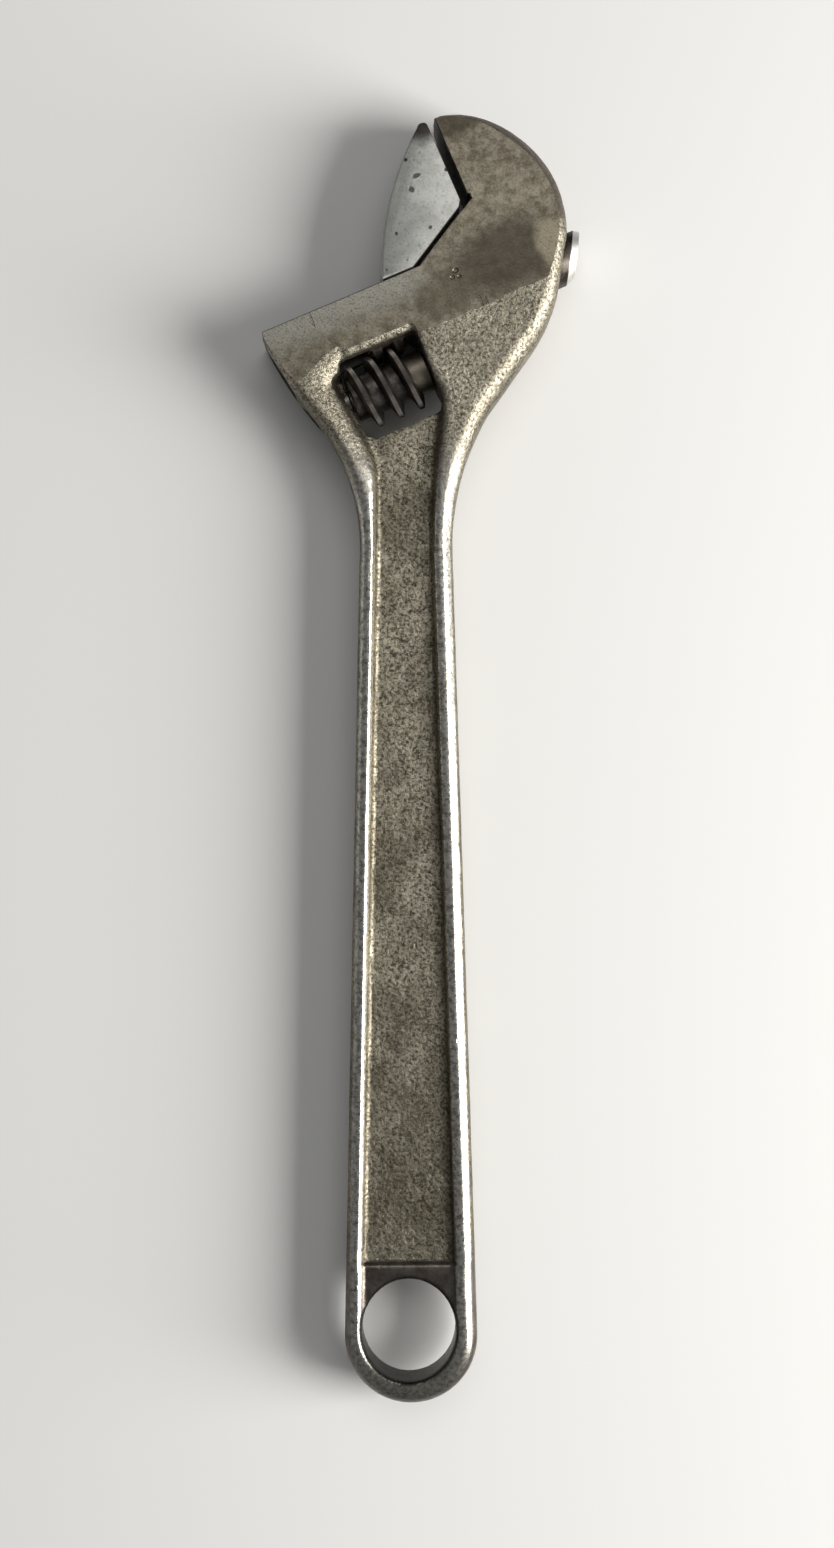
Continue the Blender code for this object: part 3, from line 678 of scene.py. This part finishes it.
def leaf_steel():
    """The sliding jaw: paler and cooler, finely scratched and lightly pitted."""
    g = Graph("leaf_steel")
    speck = g.noise(1.6, 4, 0.6)
    cloud = g.noise(0.2, 5, 0.6)
    lines = g.noise(1.0, 4, 0.65, at=g.mapped(g.at_head, scale=(0.22, 3.6, 1), turn=0.12))
    colour = g.blend(g.step(cloud, 0.32, 0.68), (0.42, 0.42, 0.392), (0.5, 0.503, 0.474))
    colour = g.blend(g.step(speck, 0.28, 0.5, 0.45, 0.0), colour, (0.19, 0.185, 0.16))
    tip = g.spot(g.at_head, (-3.6, 33.2), (6.0, 7.6), 0.5, 0.5)
    colour = g.tint(colour, tip, 0.95, (0.05, 0.043, 0.033))
    pit = g.step(g.cells(0.23, g.mapped(g.at_head, move=(3.1, 1.7, 0))), 0.05, 0.15)
    gate = g.step(g.noise(0.17, 2, 0.5, at=g.mapped(g.at_head, move=(8, 3, 0))), 0.4, 0.46)
    pit = g.math("SUBTRACT", 1.0, g.math("MULTIPLY", g.math("SUBTRACT", 1.0, pit), gate))
    for centre, reach in (
        ((-9.3, 20.0), (1.1, 0.6)),
        ((-11.6, 17.4), (0.7, 0.8)),
        ((-11.1, 7.3), (0.5, 0.5)),
        ((-19, 9), (0.4, 0.5)),
    ):
        knock = g.spot(g.at_head, centre, reach, 0.9, 1.1)
        pit = g.math("MULTIPLY", pit, g.math("MULTIPLY_ADD", knock, -0.85, 1.0))
    colour = g.blend(pit, (0.06, 0.055, 0.045), colour)
    rough = g.step(cloud, 0.3, 0.7, 0.48, 0.42)
    broad = g.bump(g.noise(0.35, 3, 0.5), 0.02)
    grain = g.bump(speck, 0.022, broad)
    return g.done(colour, rough, g.bump(lines, 0.014, g.bump(pit, 0.08, grain)))


def machined_steel():
    """Faces that are cut and hardly touched by light: jaw faces, bore and slot."""
    g = Graph("machined_steel")
    lines = g.noise(1.0, 4, 0.6, at=g.mapped(g.at_head, scale=(0.25, 0.25, 4)))
    stain = g.noise(0.3, 5, 0.65)
    colour = g.blend(g.step(stain, 0.35, 0.65), (0.06, 0.052, 0.042), (0.14, 0.13, 0.112))
    return g.done(colour, g.step(lines, 0.3, 0.7, 0.45, 0.36), g.bump(lines, 0.02))


def bar_steel():
    """The slide bar: stained and painted nearly black as a dark reflection, its chamfered end painted
    bright as a highlight.
    """
    g = Graph("bar_steel")
    u, v, _ = g.axes(g.at_head)
    rings = g.noise(1.0, 4, 0.65, at=g.mapped(g.at_head, scale=(4, 0.2, 0.2)))
    stain = g.noise(0.35, 5, 0.65)
    # Painted reflection: the bar is painted nearly black, with stains.
    colour = g.blend(g.step(stain, 0.4, 0.62), (0.03, 0.025, 0.02), (0.08, 0.07, 0.06))
    end = g.math("SUBTRACT", g.math("MULTIPLY_ADD", v, -BAR_SLANT, u), BAR_RIGHT - BAR_SLANT * BAR_V)
    # Painted highlight: the chamfered end is painted bright.
    wear_and_painted_highlight = g.blend(stain, (0.5, 0.48, 0.45), (0.75, 0.73, 0.7))
    colour = g.blend(g.step(end, -1.1, -0.85), colour, wear_and_painted_highlight)
    return g.done(colour, g.step(rings, 0.3, 0.7, 0.5, 0.4), g.bump(rings, 0.012, g.bump(stain, 0.05)))


def rack_steel():
    """The rack's teeth, a dull pinkish brown where the oil has dried."""
    g = Graph("rack_steel")
    grain = g.noise(1.5, 4, 0.65)
    stain = g.step(g.noise(0.5, 5, 0.65), 0.36, 0.62)
    colour = g.blend(stain, (0.1, 0.07, 0.055), (0.28, 0.21, 0.18))
    return g.done(colour, g.step(grain, 0.3, 0.7, 0.55, 0.42), g.bump(grain, 0.06))


def worm_steel():
    """Dark oiled steel, brighter where fingers turn it."""
    g = Graph("worm_steel")
    u, v, z = g.axes(g.at_head)
    out = g.node("ShaderNodeCombineXYZ", {1: g.math("ADD", v, -WORM_V), 2: z}).outputs[0]
    radius = g.vectors("LENGTH", out)["Value"]
    grain = g.noise(1.6, 4, 0.65)
    stain = g.noise(0.4, 5, 0.6, at=g.mapped(g.at, move=(5, 2, 9)))
    colour = g.blend(g.step(stain, 0.35, 0.65), (0.04, 0.035, 0.031), (0.11, 0.1, 0.09))
    crest = g.step(radius, WORM_R - 0.5, WORM_R - 0.05)
    handled = g.blend(stain, (0.11, 0.095, 0.084), (0.22, 0.2, 0.18))
    colour = g.tint(colour, crest, 0.8, handled)
    hub = g.math("MULTIPLY", g.step(u, -29.5, -27.5), g.step(radius, CORE + 0.1, CORE + 0.6, 1, 0))
    colour = g.tint(colour, hub, 0.8, g.blend(stain, (0.11, 0.096, 0.07), (0.24, 0.215, 0.17)))
    return g.done(colour, g.step(grain, 0.3, 0.7, 0.46, 0.34), g.bump(grain, 0.04))


def plain_steel(name, dark, light, rough):
    """Small dark parts: a fine drawn grain and oil stains."""
    g = Graph(name)
    grain = g.noise(2.2, 4, 0.6)
    stain = g.step(g.noise(0.6, 5, 0.6), 0.35, 0.65)
    uneven = g.step(grain, 0.3, 0.7, rough + 0.08, rough)
    return g.done(g.blend(stain, dark, light), uneven, g.bump(grain, 0.02))


# ---------------------------------------------------------------- pieces
BEND_V, BEYOND = 6, 42  # where the faces start to thin towards the tips, and a v past the jaws


def inward(points, amount):
    """A counterclockwise outline moved inwards, by one amount or one for each point."""
    amounts = amount if isinstance(amount, list) else [amount] * len(points)
    moved = []
    for i, (x, y) in enumerate(points):
        back = Vector((x, y)) - Vector(points[i - 1])
        ahead = Vector(points[(i + 1) % len(points)]) - Vector((x, y))
        normals = [Vector((-d.y, d.x)).normalized() for d in (back, ahead)]
        middle = (normals[0] + normals[1]).normalized()
        reach = amounts[i] / max(0.5, middle.dot(normals[0]))
        moved.append((x + middle.x * reach, y + middle.y * reach))
    return moved


def ground_half(v):
    """Half thickness between the ground faces: level over the head, thinner to the jaw tips."""
    return HEAD_HALF - (HEAD_HALF - TIP_HALF) * max(0.0, v - BEND_V) / (DEPTH - BEND_V)


def face_cutters(materials):
    """What the grinding takes off above and below."""
    tools = []
    for side in (1, -1):
        bm = bmesh.new()
        far = ground_half(BEYOND)
        profile = [(-40, HEAD_HALF), (BEND_V, HEAD_HALF), (BEYOND, far), (BEYOND, 20), (-40, 20)]
        loft(bm, [[(*head(u, v), side * z) for v, z in profile] for u in (-85, 50)], 1)
        tools.append(tool("grind", bm, materials))
    return tools


def mouth_cutter(materials):
    """The mouth down to the throat and the shelf, its edges just broken."""
    climb = THROAT / RUN
    corners = [
        (-SHELF - 12, BEYOND), (-SHELF - 12, 0), (-RUN, 0), (BEND_V / climb - RUN, BEND_V),
        (-0.5, THROAT - 0.5 * climb), (0.5, THROAT + 0.2), (0.5, THROAT + 1.3), (0, THROAT + 1.6),
        (0, BEYOND),
    ]
    edge = 0.22
    opened = inward(corners, -edge)
    bm = bmesh.new()
    rings = []
    for side, back, wide in ((-1, -6, 1), (-1, 0, 1), (-1, edge, 0), (1, edge, 0), (1, 0, 1), (1, -6, 1)):
        points = []
        for (u, v), out in zip(corners, opened):
            points.append((*head(*(out if wide else (u, v))), side * (ground_half(v) - back)))
        rings.append(points)
    loft(bm, rings, 2)
    return tool("mouth", bm, materials)


def make_body():
    """The forging, ground, and bored and slit for the slide and the pin."""
    materials = [forged_steel(), ground_steel(), machined_steel()]
    mesh = forging()
    for material in materials:
        mesh.materials.append(material)
    body = new_object("forged_body", mesh)
    bore, slit, screw, seat = (bmesh.new() for _ in range(4))
    lathe(bore, along_u(0, BAR_V), ((BAR_R + FIT, -70), (BAR_R + FIT, 40)), 72, 2)
    far = NECK_TO + MOUTH + 1.2
    half = NECK_THICK / 2 + FIT
    prism(slit, ((-70, BAR_V), (far, BAR_V), (far, THROAT + 3), (-70, THROAT + 3)), -half, half, 2)
    lathe(screw, along_u(0, WORM_V), ((SCREW_R + FIT, -63), (SCREW_R + FIT, WIN_L + 3)), 48, 2)
    lathe(seat, along_u(0, WORM_V), ((PIN_R + FIT, WIN_R - 3), (PIN_R + FIT, PIN_TO + 0.6)), 48, 2)
    tools = face_cutters(materials) + [mouth_cutter(materials)]
    tools += [tool("hollow", bm, materials) for bm in (bore, slit, screw, seat)]
    combine(body, [("DIFFERENCE", t) for t in tools])
    return finish_piece(body, "frame", "body")


def leaf_slope(u):
    """The v of the leaf's sloping foot, clear of the throat when the jaw is shut."""
    return (u + RUN + MOUTH - SHUT) * THROAT / RUN + 0.15


def plate(outline):
    """A flat piece mirrored about z = 0, with each edge rounded by its own amount."""
    points, edges = [p[:2] for p in outline], [p[2] for p in outline]
    soft = [min(1.0, max(0.0, e - 0.35)) for e in edges]
    rings = [[(x, y, 0.0) for x, y in points]]
    levels = 7
    for k in range(1, levels + 1):
        a = math.pi / 2 * k / levels
        drawn = k == levels
        share = [s * (1 - math.cos(a)) + (1 - s) * drawn for s in soft]
        rise = [s * math.sin(a) + (1 - s) * (1.0 if drawn else 0.966 * k / (levels - 1)) for s in soft]
        moved = inward(points, [e * w for e, w in zip(edges, share)])
        rings.append([(x, y, h) for (x, y), h in zip(moved, rise)])
    bm = bmesh.new()
    loft(bm, [[(x, y, -z) for x, y, z in ring] for ring in reversed(rings[1:])] + rings)
    plane = HEAD_FRAME @ Vector((0, BEND_V, 0))
    bmesh.ops.bisect_plane(
        bm, geom=bm.verts[:] + bm.edges[:] + bm.faces[:], dist=1e-5,
        plane_co=plane, plane_no=HEAD_FRAME.to_3x3() @ Vector((0, 1, 0)),
    )
    back = HEAD_FRAME.inverted()
    for vert in bm.verts:
        vert.co.z *= ground_half((back @ Vector((vert.co.x, vert.co.y, 0))).y)
    return bm


def leaf_outline():
    """The leaf: the jaw's face, its blunt tip, the bowed back and the foot along the slope."""
    face, g = -MOUTH, 0.12
    foot = -RUN - (leaf_slope(-RUN) - FIT) * RUN / THROAT
    legs = [
        (None, head(face - 1.0, leaf_slope(face - 1.0)), g),
        (None, head(face, leaf_slope(face) + 0.9), g),
        (None, head(face, DEPTH - 1.3), g),
        (head(face - 0.3, DEPTH - 0.2), head(face - 0.9, DEPTH + 0.25), 0.8),
        (head(face - 1.9, DEPTH + 0.35), head(face - 2.8, DEPTH - 0.3), 1.0),
        (head(face - 16.6, 15.9), head(face - LEAF_BASE, FIT + 0.9), 1.1),
        (None, head(face - LEAF_BASE + 0.5, FIT), g),
    ]
    return trace(head(foot, FIT), g, legs, 1.0)


def bar_solid(bm):
    """The slide bar, cut off on a slant at the far end with a broad worn chamfer."""
    centre = HEAD_FRAME @ Matrix.Translation((0, BAR_V, 0))
    stops = [(BAR_R - 0.7, BAR_LEFT, 0, 0), (BAR_R, BAR_LEFT + 0.7, 0, 0), (BAR_R, 6, 0, 0)]
    stops += [(BAR_R - back / 2, BAR_RIGHT + 0.8, 1, 1.9 - back) for back in (0, 0.25, 1.7, 1.9)]
    rings, sides = [], 72
    for radius, u, slanted, back in stops:
        points = []
        for k in range(sides):
            t = math.tau * k / sides
            v, z = radius * math.cos(t), radius * math.sin(t)
            points.append(centre @ Vector((u + slanted * (BAR_SLANT * v - back), v, z)))
        rings.append(points)
    loft(bm, rings, 1)


def rack_cutter(materials):
    """The gaps between the rack's teeth, leaning with the thread's lead."""
    bm = bmesh.new()
    open_v = BAR_V - BAR_R - 1.0
    flank = (TOOTH_ROOT - TOOTH_TIP) / 2 / (RACK_V - BAR_V + BAR_R)
    narrow = (PITCH - TOOTH_ROOT) / 2
    wide = narrow + flank * (RACK_V - open_v)
    lean = math.tan(LEAD) * 9
    for k in range(GAPS):
        u = FIRST_CREST + PITCH * (k + 1)
        rings = []
        for z, shift in ((-9, -lean), (9, lean)):
            corners = ((-wide, open_v), (wide, open_v), (narrow, RACK_V), (-narrow, RACK_V))
            rings.append([(*head(u + shift + du, v), z) for du, v in corners])
        loft(bm, rings, 2)
    return tool("rack", bm, materials)


def make_jaw():
    """The leaf on its neck and bar, with the rack cut across."""
    materials = [leaf_steel(), bar_steel(), rack_steel()]
    jaw = tool("sliding_jaw", plate(leaf_outline()), materials)
    web, bar = bmesh.new(), bmesh.new()
    low, high = leaf_slope(-RUN) + 1, leaf_slope(NECK_TO) + 1
    corners = ((NECK_FROM, BAR_V), (NECK_TO, BAR_V), (NECK_TO, high), (-RUN, low), (NECK_FROM, low))
    prism(web, corners, -NECK_THICK / 2, NECK_THICK / 2, 1)
    bar_solid(bar)
    parts = [("UNION", tool(name, bm, materials)) for name, bm in (("web", web), ("bar", bar))]
    combine(jaw, [*parts, ("DIFFERENCE", rack_cutter(materials))])
    return finish_piece(jaw, "jaw", "movable_jaw")


def thread(bm):
    """The ridge, its crest nicked across by the knurling, fading out at the far end."""
    per_turn = KNURLS * 4
    count = round((THREAD_TO - THREAD_FROM) / math.tau * per_turn)
    at, sunk = along_u(0, WORM_V), CORE - 1.2
    root, side = THREAD_ROOT / 2 + 0.3, CREST / 2
    rings = []
    for k in range(count + 1):
        turn = THREAD_FROM + (THREAD_TO - THREAD_FROM) * k / count
        fade = min(1.0, (count - k) / (0.18 * per_turn) + 0.02)
        nick = KNURL_DEEP / 2 * (1 - math.cos(math.tau * k / 4))
        top = sunk + (WORM_R - sunk) * fade - nick * fade
        under = max(sunk + 0.02, top - 0.4)
        centre = FIRST_CREST + PITCH * turn / math.tau
        profile = (
            (sunk, -root), (sunk, root), (under, side),
            (top, side - 0.24), (top, 0.24 - side), (under, -side),
        )
        c, s = math.cos(turn), math.sin(turn)
        rings.append([at @ Vector((r * c, r * s, centre + du)) for r, du in profile])
    loft(bm, rings)


def make_worm():
    """The worm: core and thread, bored for the pin and pocketed for the spring."""
    materials = [worm_steel()]
    at = along_u(0, WORM_V)
    core, ridge, keep, bore, pocket = (bmesh.new() for _ in range(5))
    edge = 0.4
    ends = ((WORM_LEFT, edge), (WORM_LEFT + edge, 0), (WORM_RIGHT - edge, 0), (WORM_RIGHT, edge))
    lathe(core, at, [(CORE - inset, u) for u, inset in ends], 96)
    thread(ridge)
    lathe(keep, at, ((WORM_R + 2, WORM_LEFT), (WORM_R + 2, WORM_RIGHT)), 96)
    lathe(bore, at, ((WORM_BORE, WORM_LEFT - 2), (WORM_BORE, WORM_RIGHT + 2)), 48)
    lathe(pocket, at, ((SPRING_BORE, WORM_RIGHT - SPRING_DEEP), (SPRING_BORE, WORM_RIGHT + 2)), 64)
    worm = tool("knurled_worm", core, materials)
    steps = (("UNION", ridge), ("INTERSECT", keep), ("DIFFERENCE", bore), ("DIFFERENCE", pocket))
    combine(worm, [(operation, tool("worm_tool", bm, materials)) for operation, bm in steps])
    return finish_piece(worm, "worm", "worm_knurl")


def make_pin():
    """The pin, with its screwed end slotted for a driver."""
    materials = [plain_steel("pin_steel", (0.1, 0.095, 0.09), (0.26, 0.25, 0.23), 0.3)]
    at = along_u(0, WORM_V)
    bm, slot = bmesh.new(), bmesh.new()
    lathe(bm, at, (
        (SCREW_R - SCREW_EDGE, PIN_FROM), (SCREW_R - 0.1, PIN_FROM + 0.12),
        (SCREW_R, PIN_FROM + SCREW_EDGE), (SCREW_R, WIN_L - SCREW_EDGE),
        (PIN_R, WIN_L), (PIN_R, PIN_TO - TIP_EDGE), (PIN_R - TIP_EDGE, PIN_TO),
    ), 48)
    wide, across = 0.45, 5
    flat = ((-across, -wide), (across, -wide), (across, wide), (-across, wide))
    loft(slot, [[at @ Vector((x, y, z)) for x, y in flat] for z in (PIN_FROM - 2, PIN_FROM + 1.1)])
    pin = tool("screw_pin", bm, materials)
    combine(pin, [("DIFFERENCE", tool("screw_slot", slot, materials))])
    return finish_piece(pin, "frame", "worm_pin")


def make_spring():
    """The take-up spring."""
    materials = [plain_steel("spring_steel", (0.14, 0.13, 0.12), (0.3, 0.29, 0.27), 0.26)]
    at = along_u(0, WORM_V)
    first = WORM_RIGHT - SPRING_DEEP + SPRING_WIRE + 0.15
    last = WORM_RIGHT - SPRING_WIRE
    turns, per_turn = 4, 32
    rings = []
    for k in range(turns * per_turn + 1):
        turn, z = math.tau * k / per_turn, first + (last - first) * k / (turns * per_turn)
        section = []
        for side in range(12):
            t = math.tau * side / 12
            r = SPRING_R + SPRING_WIRE * math.cos(t)
            rise = z - SPRING_WIRE * math.sin(t)
            section.append(at @ Vector((r * math.cos(turn), r * math.sin(turn), rise)))
        rings.append(section)
    bm = bmesh.new()
    loft(bm, rings)
    return finish_piece(tool("take_up_spring", bm, materials), "frame", "worm_spring")


# ---------------------------------------------------------------- stage
def make_floor():
    """A plain pale floor."""
    bm = bmesh.new()
    bmesh.ops.create_grid(bm, x_segments=2, y_segments=2, size=3.0)
    mesh = bpy.data.meshes.new("floor")
    bm.to_mesh(mesh)
    bm.free()
    g = Graph("floor")
    g.done((0.64, 0.635, 0.62, 1), 0.7, g.bump(g.noise(0.05, 2, 0.5), 0.02))
    g.shader.inputs["Metallic"].default_value = 0.0
    mesh.materials.append(g.material)
    floor = new_object("floor", mesh)
    floor.location.z = -0.0001


def add_light(name, place, aim, size, power, colour):
    """A soft rectangular lamp."""
    data = bpy.data.lights.new(name, "AREA")
    data.shape, data.size, data.size_y = "RECTANGLE", size[0], size[1]
    data.energy, data.color = power, colour
    lamp = bpy.data.objects.new(name, data)
    bpy.context.scene.collection.objects.link(lamp)
    lamp.location = place
    lamp.rotation_euler = (Vector(aim) - Vector(place)).to_track_quat("-Z", "Y").to_euler()


def light_and_camera():
    """Low light from the right, a weak one from above, and a camera looking straight down."""
    world = bpy.data.worlds.new("studio")
    bpy.context.scene.world = world
    world.use_nodes = True
    shade = world.node_tree.nodes["Background"].inputs
    shade["Color"].default_value, shade["Strength"].default_value = (0.97, 0.98, 1.0, 1), 0.22
    add_light("key", (1.0, -0.18, 0.5), (0, 0, 0), (0.6, 0.9), 30.0, (1.0, 0.985, 0.96))
    add_light("top", (0.1, 0.6, 1.15), (0, 0.05, 0), (0.9, 0.6), 3.2, (1.0, 0.99, 0.97))
    scene = bpy.context.scene
    scene.view_settings.view_transform = "Standard"
    data = bpy.data.cameras.new("camera")
    data.sensor_fit, data.sensor_height, data.lens = "VERTICAL", 36, 47.9
    data.clip_start = 0.01
    camera = bpy.data.objects.new("camera", data)
    scene.collection.objects.link(camera)
    camera.location = (-0.00146, -0.00334, 0.5005)
    camera.rotation_euler = (0, 0, -math.radians(0.37))
    scene.camera = camera


make_floor()
light_and_camera()
make_body()
make_jaw()
make_worm()
make_pin()
make_spring()
